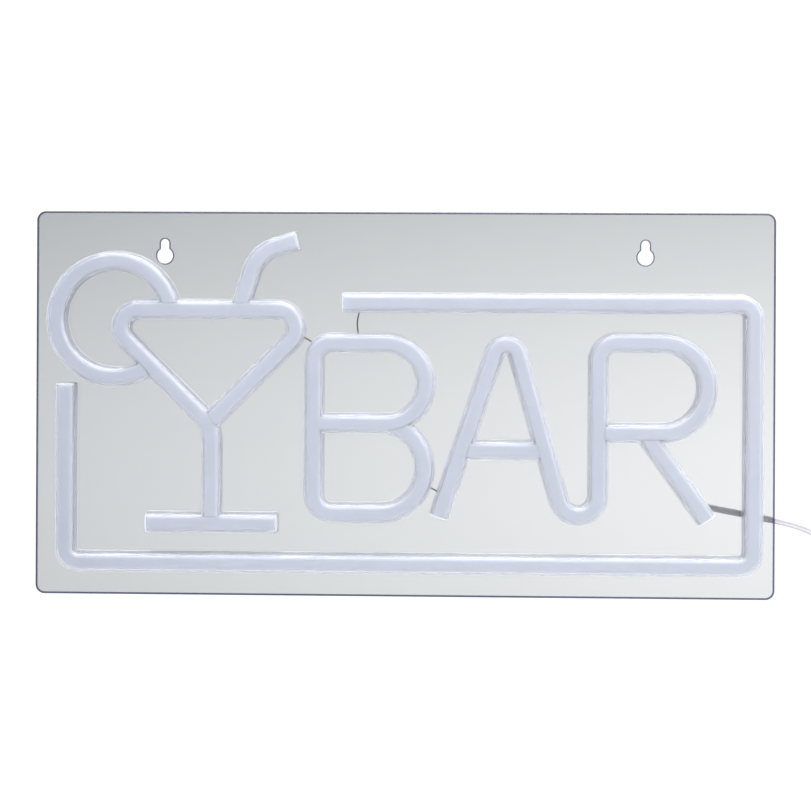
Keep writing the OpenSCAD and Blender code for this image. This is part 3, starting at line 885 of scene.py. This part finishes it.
def make_front_shell(look):
    shell = shell_half("switch_front", 1)
    x, y, depth = SWITCH
    half_t = SWITCH_T / 2
    rim = lofted("rim", SWITCH, edge_levels(half_t - 1, half_t + 0.45, 0.4, 4),
                 box_outline(ROCKER_W + 3.2, 2 * ROCKER_HALF + 3.8, 1.6, 8))
    ribs = []
    for side in (-1, 1):
        for k in range(4):
            ribs.append(lofted(f"rib{side}{k}", (x, y + side * (12.5 + 1.8 * k), depth),
                               edge_levels(half_t - 0.6, half_t + 0.35, 0.35, 4),
                               box_outline(8 - 0.6 * k, 0.8, 0.4, 5)))
    combine(shell, [rim] + ribs, "UNION")
    window = lofted("window", SWITCH, [(half_t - SWITCH_WALL - 1, 0), (half_t + 0.25, 0),
                                       (half_t + 1.5, -1.0)],
                    box_outline(ROCKER_W + 0.5, 2 * ROCKER_HALF + 1.0, 0.3, 3))
    combine(shell, [window], "DIFFERENCE")
    return finish_piece(shell, look, ["switch_front_shell"])


def make_rear_shell(look):
    shell = shell_half("switch_rear", -1)
    x, y, depth = SWITCH
    half_t = SWITCH_T / 2
    for side in (-1, 1):
        post = lofted("post", (x, y + side * SCREW_Y, depth), [(0, 0), (-half_t + 0.3, 0)],
                      circle_outline(2.2))
        combine(shell, [post], "UNION")
        bore = lofted("bore", (x, y + side * SCREW_Y, depth), [(1, 0), (-half_t - 1, 0)],
                      circle_outline(SCREW_D / 2 + 0.1))
        sink = lofted("sink", (x, y + side * SCREW_Y, depth),
                      [(HEAD_T - half_t, 0), (-half_t + 0.25, 0), (-half_t - 1, -1.25)],
                      circle_outline(HEAD_D / 2 + 0.1, 40))
        combine(shell, [bore, sink], "DIFFERENCE")
    return finish_piece(shell, look, ["switch_rear_shell"])


def make_screws(look):
    """Two pan-head screws with crossed recesses, in the rear shell."""
    screws = []
    half_t = SWITCH_T / 2
    for side in (-1, 1):
        place = (SWITCH[0], SWITCH[1] + side * SCREW_Y, SWITCH[2])
        under, top = HEAD_T - half_t, 0.1 - half_t
        screw = lofted("screw", place, [(3.6, SCREW_D / 2 - 0.4), (2.6, 0), (under, 0)],
                       circle_outline(SCREW_D / 2, 24))
        head = lofted("head", place, [(under + 0.001, 0.1)] + edge_levels(under - 0.1, top, 0.5, 5),
                      circle_outline(HEAD_D / 2, 40))
        combine(screw, [head], "UNION")
        slots = [lofted(f"slot{k}", place, [(top + 0.55, 0.12), (top - 1, 0)],
                        box_outline(*((2.3, 0.5) if k else (0.5, 2.3)), 0.1, 2)) for k in (0, 1)]
        combine(screw, slots, "DIFFERENCE")
        screws.append(screw)
    return finish_piece(unite_islands("switch_screw_pair", screws), look,
                        ["switch_screws"])


def rocker_place(x, y, z):
    """A point of the rocker's own frame, x across, y up and z out from its pivot, at rest."""
    c, s = math.cos(ROCKER_REST), math.sin(ROCKER_REST)
    return row(SWITCH[0] + x, SWITCH[1] + y * c - z * s, SWITCH[2] + PIVOT_DEPTH + y * s + z * c)


def rocker_face(y):
    """Height of the rocker's dished face above its pivot."""
    return 2.5 + 1.4 * (y / ROCKER_HALF) ** 2


def make_rocker(look, mark_look):
    low, edge = -2.4, 0.35
    half = ROCKER_W / 2
    face = [ROCKER_HALF * (1 - k / 8) for k in range(17)]
    outline = [(-ROCKER_HALF, low), (ROCKER_HALF, low)] + [(y, rocker_face(y)) for y in face]
    bm = bmesh.new()
    skin(bm, [[rocker_place(x, y, z) for y, z in outline] for x in (-half, half)])
    rocker = mesh_object("rocker_key", bm)
    soft = rocker.modifiers.new("soft", "BEVEL")
    soft.width = edge * MM
    soft.segments = 3
    soft.angle_limit = math.radians(40)
    bake(rocker)
    bm = bmesh.new()
    skin(bm, [[rocker_place(x, y, z) for y, z in circle_outline(PIN_D / 2 + 0.05, 24)(0)]
              for x in (-half - 1, half + 1)])
    combine(rocker, [mesh_object("pin_bore", bm)], "DIFFERENCE")
    finish_piece(rocker, look, ["switch_rocker"], body="rocker")
    finish_piece(make_marks(), mark_look, body="rocker")


def make_marks():
    """The plain bar and ring on the rocker's face, printed a little proud of it."""
    marks = bmesh.new()
    sunk, lift = -0.1, 0.06
    bar = box_outline(0.7, 2.4, 0.3, 4)(0)
    skin(marks, [[rocker_place(x, y + MARK_Y, rocker_face(y + MARK_Y) + z) for x, y in bar]
                 for z in (sunk, lift)])
    ring = [(0.85, sunk), (1.35, sunk), (1.35, lift), (0.85, lift)]
    turns = [math.tau * k / 28 for k in range(28)]
    skin(marks, [[rocker_place(r * math.cos(a), r * math.sin(a) - MARK_Y,
                               rocker_face(r * math.sin(a) - MARK_Y) + z) for r, z in ring]
                 for a in turns], closed=True)
    return mesh_object("rocker_marks", marks)


# ---- USB plug ----

PLUG_W = 15.5
PLUG_LEN = 25
PLUG_T = 7.6
SHELL_W = 12
SHELL_LEN = 18.5
SHELL_DEEP = 4.5
SHELL_T = 0.35
SHELL_INSIDE = 5


def down_loft(name, place, levels, steps=6):
    """A body along the lead's end: rounded sections (y, width, thickness, radius) from a place."""
    bm = bmesh.new()
    rings = []
    for y, w, t, r in levels:
        rings.append([row(place[0] + u, place[1] + y, place[2] + v)
                      for u, v in box_outline(w, t, r, steps)(0)])
    skin(bm, rings)
    return mesh_object(name, bm)


def relief(name, y, sign):
    """A short tapered sleeve with rings, from a housing's end at y along the lead."""
    levels = [(-sign * 1.2, 7.4, 5.2, 2.2), (0, 7.2, 5.0, 2.2)]
    for k in range(5):
        w, t = 6.6 - 0.38 * k, 4.5 - 0.34 * k
        at = sign * (0.5 + 1.7 * k)
        levels += [(at, w - 0.7, t - 0.7, t * 0.38), (at + sign * 0.5, w - 0.7, t - 0.7, t * 0.38),
                   (at + sign * 0.65, w, t, t * 0.44), (at + sign * 1.4, w - 0.1, t - 0.1, t * 0.44)]
    return down_loft(name, (TAIL_X, y, HANG_DEPTH), levels)


def make_sleeve(name, y, sign, look):
    """A ringed sleeve on its own, bored for the lead."""
    sleeve = relief(name, y, sign)
    bore = down_loft("bore", (TAIL_X, y + sign * 12, HANG_DEPTH),
                     [(0, LEAD_W + 0.06, LEAD_T + 0.06, 0.9),
                      (-sign * 15, LEAD_W + 0.06, LEAD_T + 0.06, 0.9)])
    combine(sleeve, [bore], "DIFFERENCE")
    return finish_piece(sleeve, look)


def make_plug_body(look):
    place = (TAIL_X, PLUG_TOP, HANG_DEPTH)
    levels = [(0, 6.3, 4.8, 2.0), (-1.5, 7.2, 5.4, 2.2), (-3.5, 9.6, 6.4, 2.5), (-5.5, 13, 7.2, 2.7),
              (-7, 15.0, 7.5, 2.8), (-8.5, PLUG_W, PLUG_T, 2.8), (-23.6, PLUG_W, PLUG_T, 2.6),
              (-24.5, 15.0, 7.1, 2.4), (-PLUG_LEN, 14.2, 6.4, 2.2)]
    body = down_loft("plug_moulding", place, levels, 8)
    sleeve = relief("sleeve", PLUG_TOP, 1)
    combine(body, [sleeve], "UNION")
    grips = []
    for face in (-1, 1):
        for k in range(4):
            grips.append(lofted(f"grip{face}{k}", (TAIL_X, PLUG_TOP - 11 - 2.4 * k, HANG_DEPTH),
                                [(face * (PLUG_T / 2 - 0.4), 0.25), (face * (PLUG_T / 2 + 1), -0.4)],
                                box_outline(9, 0.9, 0.35, 4)))
    socket = down_loft("socket", (TAIL_X, PLUG_TOP - PLUG_LEN + SHELL_INSIDE, HANG_DEPTH),
                       [(0, SHELL_W + 0.04, SHELL_DEEP + 0.04, 0.7),
                        (-SHELL_INSIDE - 2, SHELL_W + 0.04, SHELL_DEEP + 0.04, 0.7)])
    bore = down_loft("bore", (TAIL_X, PLUG_TOP + 12, HANG_DEPTH),
                     [(0, LEAD_W + 0.06, LEAD_T + 0.06, 0.9), (-15, LEAD_W + 0.06, LEAD_T + 0.06, 0.9)])
    combine(body, grips + [socket, bore], "DIFFERENCE")
    return finish_piece(body, look, ["plug_body"])


def make_plug_shell(look):
    top = PLUG_TOP - PLUG_LEN + SHELL_INSIDE
    long = SHELL_INSIDE + SHELL_LEN
    place = (TAIL_X, top, HANG_DEPTH)
    outside = down_loft("plug_metal", place,
                        [(0, SHELL_W, SHELL_DEEP, 0.7), (0.25 - long, SHELL_W, SHELL_DEEP, 0.7),
                         (-long, SHELL_W - 0.24, SHELL_DEEP - 0.24, 0.6)], 6)
    inside = down_loft("plug_mouth", place,
                       [(1, SHELL_W - 2 * SHELL_T, SHELL_DEEP - 2 * SHELL_T, 0.4),
                        (-long - 1, SHELL_W - 2 * SHELL_T, SHELL_DEEP - 2 * SHELL_T, 0.4)], 4)
    cuts = [inside]
    for x in (-3, 3):
        cuts.append(lofted(f"latch{x}", (TAIL_X + x, top - long / 2 - 1, HANG_DEPTH),
                           [(-SHELL_DEEP, 0), (SHELL_DEEP, 0)], box_outline(2.2, 2.2, 0.25, 3)))
    cuts.append(lofted("seam", (TAIL_X, top - long / 2, HANG_DEPTH),
                       [(-SHELL_DEEP / 2 - 1, 0), (-SHELL_DEEP / 2 + SHELL_T / 2, 0)],
                       box_outline(0.12, long + 2, 0.05, 1)))
    combine(outside, cuts, "DIFFERENCE")
    return finish_piece(outside, look, ["plug_shell"])


# ---- CAD nodes that stay as they are ----

def dress(names, look):
    """Gives carried-over nodes a finished material."""
    for name in names:
        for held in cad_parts[name].material_slots:
            held.material = look


def board_look():
    """The back of a flexible LED strip: pale film over fine copper tracks."""
    made, nodes, links, shader = material("strip_film")
    weave = noise(nodes, links, 900, 2)
    blotch = noise(nodes, links, 45, 3)
    film = ramp(nodes, links, blotch, [(0.3, (0.60, 0.50, 0.36)), (0.7, (0.70, 0.60, 0.45))])
    links.new(film, shader.inputs["Base Color"])
    links.new(grade(nodes, links, weave, 0.3, 0.5), shader.inputs["Roughness"])
    bump(nodes, links, shader, weave, 0.15, 0.0001)
    return made


def dress_electronics(bright):
    dress([f"strip_{name}" for name in STROKES], board_look())
    dress(["led_chips"], mottled("led_phosphor", (0.84, 0.68, 0.22), (0.92, 0.78, 0.34),
                                 (0.3, 0.5), 1400))
    dress(["strip_resistors"], mottled("resistor_black", (0.03, 0.03, 0.035), (0.06, 0.06, 0.065),
                                       (0.3, 0.5), 1600))
    dress(["switch_pin"], bright)
    dress(["switch_terminals"], mottled("terminal_brass", (0.72, 0.55, 0.25), (0.82, 0.66, 0.34),
                                        (0.2, 0.4), 900, metallic=1))
    dress(["plug_tongue"], mottled("tongue_plastic", (0.035, 0.035, 0.04), (0.06, 0.06, 0.07),
                                   (0.35, 0.5), 1500))
    dress(["plug_contacts"], mottled("contact_gold", (0.85, 0.64, 0.28), (0.93, 0.74, 0.38),
                                     (0.15, 0.3), 1500, metallic=1))


# ---- Camera, lights and backdrop ----

CAMERA_AT = (0.025, -0.9, -0.025)
CAMERA_YAW, CAMERA_ROLL = 0.027, 0.0048
CAMERA_LENS, CAMERA_SHIFT = 73.75, -0.1266


def make_camera():
    """A nearly level camera in front of the sign, with the lens shifted to centre the sheet."""
    lens = bpy.data.cameras.new("camera")
    lens.lens = CAMERA_LENS
    lens.sensor_width = 36
    lens.shift_y = CAMERA_SHIFT
    camera = link("camera", lens)
    turn = Matrix.Rotation(CAMERA_YAW, 4, "Z") @ Matrix.Rotation(math.pi / 2, 4, "X")
    camera.matrix_world = (Matrix.Translation(CAMERA_AT) @ turn
                           @ Matrix.Rotation(CAMERA_ROLL, 4, "Z"))
    bpy.context.scene.camera = camera


def area_light(name, place, size, power):
    """A rectangular lamp, unseen by the camera, that faces the middle of the sheet."""
    lamp = bpy.data.lights.new(name, "AREA")
    lamp.shape = "RECTANGLE"
    lamp.size, lamp.size_y = size
    lamp.energy = power
    obj = link(name, lamp)
    aim = Vector((0, 0, -0.08)) - Vector(place)
    obj.location = place
    obj.visible_camera = False
    obj.rotation_euler = aim.to_track_quat("-Z", "Y").to_euler()


def make_backdrop():
    """A white sweep: a wall behind the sign that curves into a floor below it."""
    wall_y, wall_top, floor_z, floor_front, half_w, bend = 1.9, 2.4, -0.75, -4, 3, 0.5
    profile = [(wall_y, wall_top)]
    for k in range(13):
        a = math.pi / 2 * k / 12
        profile.append((wall_y - bend + bend * math.cos(a), floor_z + bend - bend * math.sin(a)))
    profile.append((floor_front, floor_z))
    bm = bmesh.new()
    columns = [[bm.verts.new((x, y, z)) for y, z in profile] for x in (-half_w, half_w)]
    for i in range(len(profile) - 1):
        bm.faces.new((columns[0][i], columns[1][i], columns[1][i + 1], columns[0][i + 1]))
    backdrop = mesh_object("backdrop", bm)
    made, nodes, links, shader = material("studio_white")
    paper = noise(nodes, links, 30, 3)
    links.new(ramp(nodes, links, paper, [(0.0, (0.46, 0.46, 0.46)), (1.0, (0.48, 0.48, 0.48))]),
              shader.inputs["Base Color"])
    shader.inputs["Roughness"].default_value = 0.9
    shader.inputs["Emission Color"].default_value = (1, 1, 1, 1)
    shader.inputs["Emission Strength"].default_value = 0.47
    backdrop.data.materials.append(made)
    backdrop.data.shade_smooth()


def make_light():
    """A soft sky, brightest in front of the sign at the upper right, and two large lamps."""
    world = bpy.data.worlds.new("studio")
    world.use_nodes = True
    nodes, links = world.node_tree.nodes, world.node_tree.links
    where = nodes.new("ShaderNodeTexCoord")
    dot = nodes.new("ShaderNodeVectorMath")
    dot.operation = "DOT_PRODUCT"
    dot.inputs[1].default_value = Vector((0.18, -0.55, 0.8)).normalized()
    links.new(where.outputs["Generated"], dot.inputs[0])
    level = nodes.new("ShaderNodeMapRange")
    level.inputs["From Min"].default_value = -1
    links.new(dot.outputs["Value"], level.inputs["Value"])
    sky = nodes["Background"]
    shade = ramp(nodes, links, level.outputs["Result"],
                 [(0.0, (0.50, 0.52, 0.57)), (0.5, (0.56, 0.58, 0.63)), (1.0, (0.92, 0.92, 0.93))])
    links.new(shade, sky.inputs["Color"])
    sky.inputs["Strength"].default_value = 1.22
    bpy.context.scene.world = world
    area_light("key", (0.95, -0.6, 0.55), (1.0, 1.2), 7.5)
    area_light("top", (0.1, -0.45, 1.3), (1.8, 0.8), 26)
    bpy.context.scene.view_settings.view_transform = "Standard"
    bpy.context.scene.view_settings.look = "None"


make_camera()
make_backdrop()
make_light()

tube_look = milky_silicone()
make_panel([clear_look("clear_sheet", (0.965, 0.97, 0.975), (0.23, 0.26, 0.265), 0.03),
            # Painted shade: the rim and keyhole edges are a near-black blue, standing in for the dark
            # outline that refraction gives there
            clear_look("cut_edge_painted_shade", (0.16, 0.16, 0.28), (0.01, 0.01, 0.05), 0.10, through=0.7),
            clear_look("clear_wall", (0.88, 0.905, 0.965), (0.85, 0.875, 0.945), 0.10, 0, 0.82),
            # Painted shade: the foot of each channel wall is darker and bluer, a line of shade along
            # the crease with the sheet
            clear_look("channel_foot", (0.74, 0.75, 0.86), (0.58, 0.60, 0.72), 0.06, 0, 0.75)])
copper = mottled("copper_pad", (0.80, 0.52, 0.30), (0.90, 0.62, 0.38), (0.25, 0.4), 900, metallic=1)
for stroke_name in STROKES:
    make_diffuser(stroke_name, tube_look)
    make_pads(stroke_name, copper)

wire_look = mottled("dark_enamel", (0.10, 0.10, 0.075), (0.16, 0.155, 0.11), (0.3, 0.45), 800)
for wire_name in WIRES:
    make_wire(wire_name, wire_look)
make_solder(mottled("solder_metal", (0.62, 0.63, 0.65), (0.8, 0.81, 0.83), (0.18, 0.4), 1500,
                    metallic=1, strength=0.4))
white = mottled("white_plastic", (0.56, 0.56, 0.555), (0.61, 0.61, 0.605), (0.34, 0.48), 1800,
                depth=0.00005)
key_white = mottled("key_plastic", (0.50, 0.50, 0.49), (0.55, 0.55, 0.54), (0.25, 0.36), 1800,
                    depth=0.00004)
mark_grey = mottled("mark_paint", (0.10, 0.10, 0.11), (0.15, 0.15, 0.16), (0.4, 0.5), 1500)
steel = mottled("bright_steel", (0.60, 0.61, 0.63), (0.72, 0.73, 0.75), (0.16, 0.34), 700,
                metallic=1, stretch=(1, 1, 6))
glue = mottled("clear_glue", (0.70, 0.70, 0.67), (0.80, 0.80, 0.77), (0.2, 0.35), 300)
make_anchor(glue)
switch = [make_front_shell(white), make_rear_shell(white), make_screws(steel)]
switch += [make_sleeve("switch_sleeve_top", SWITCH_TOP, 1, white),
           make_sleeve("switch_sleeve_base", SWITCH_TOP - SWITCH_LEN, -1, white)]
make_rocker(key_white, mark_grey)
plug = [make_plug_body(white), make_plug_shell(steel)]
tie = make_tie(mottled("tie_plastic", (0.52, 0.52, 0.515), (0.58, 0.58, 0.575), (0.3, 0.5), 1200))
make_lead(mottled("clear_pvc", (0.555, 0.53, 0.575), (0.60, 0.575, 0.62), (0.2, 0.36), 500))

dress_electronics(steel)
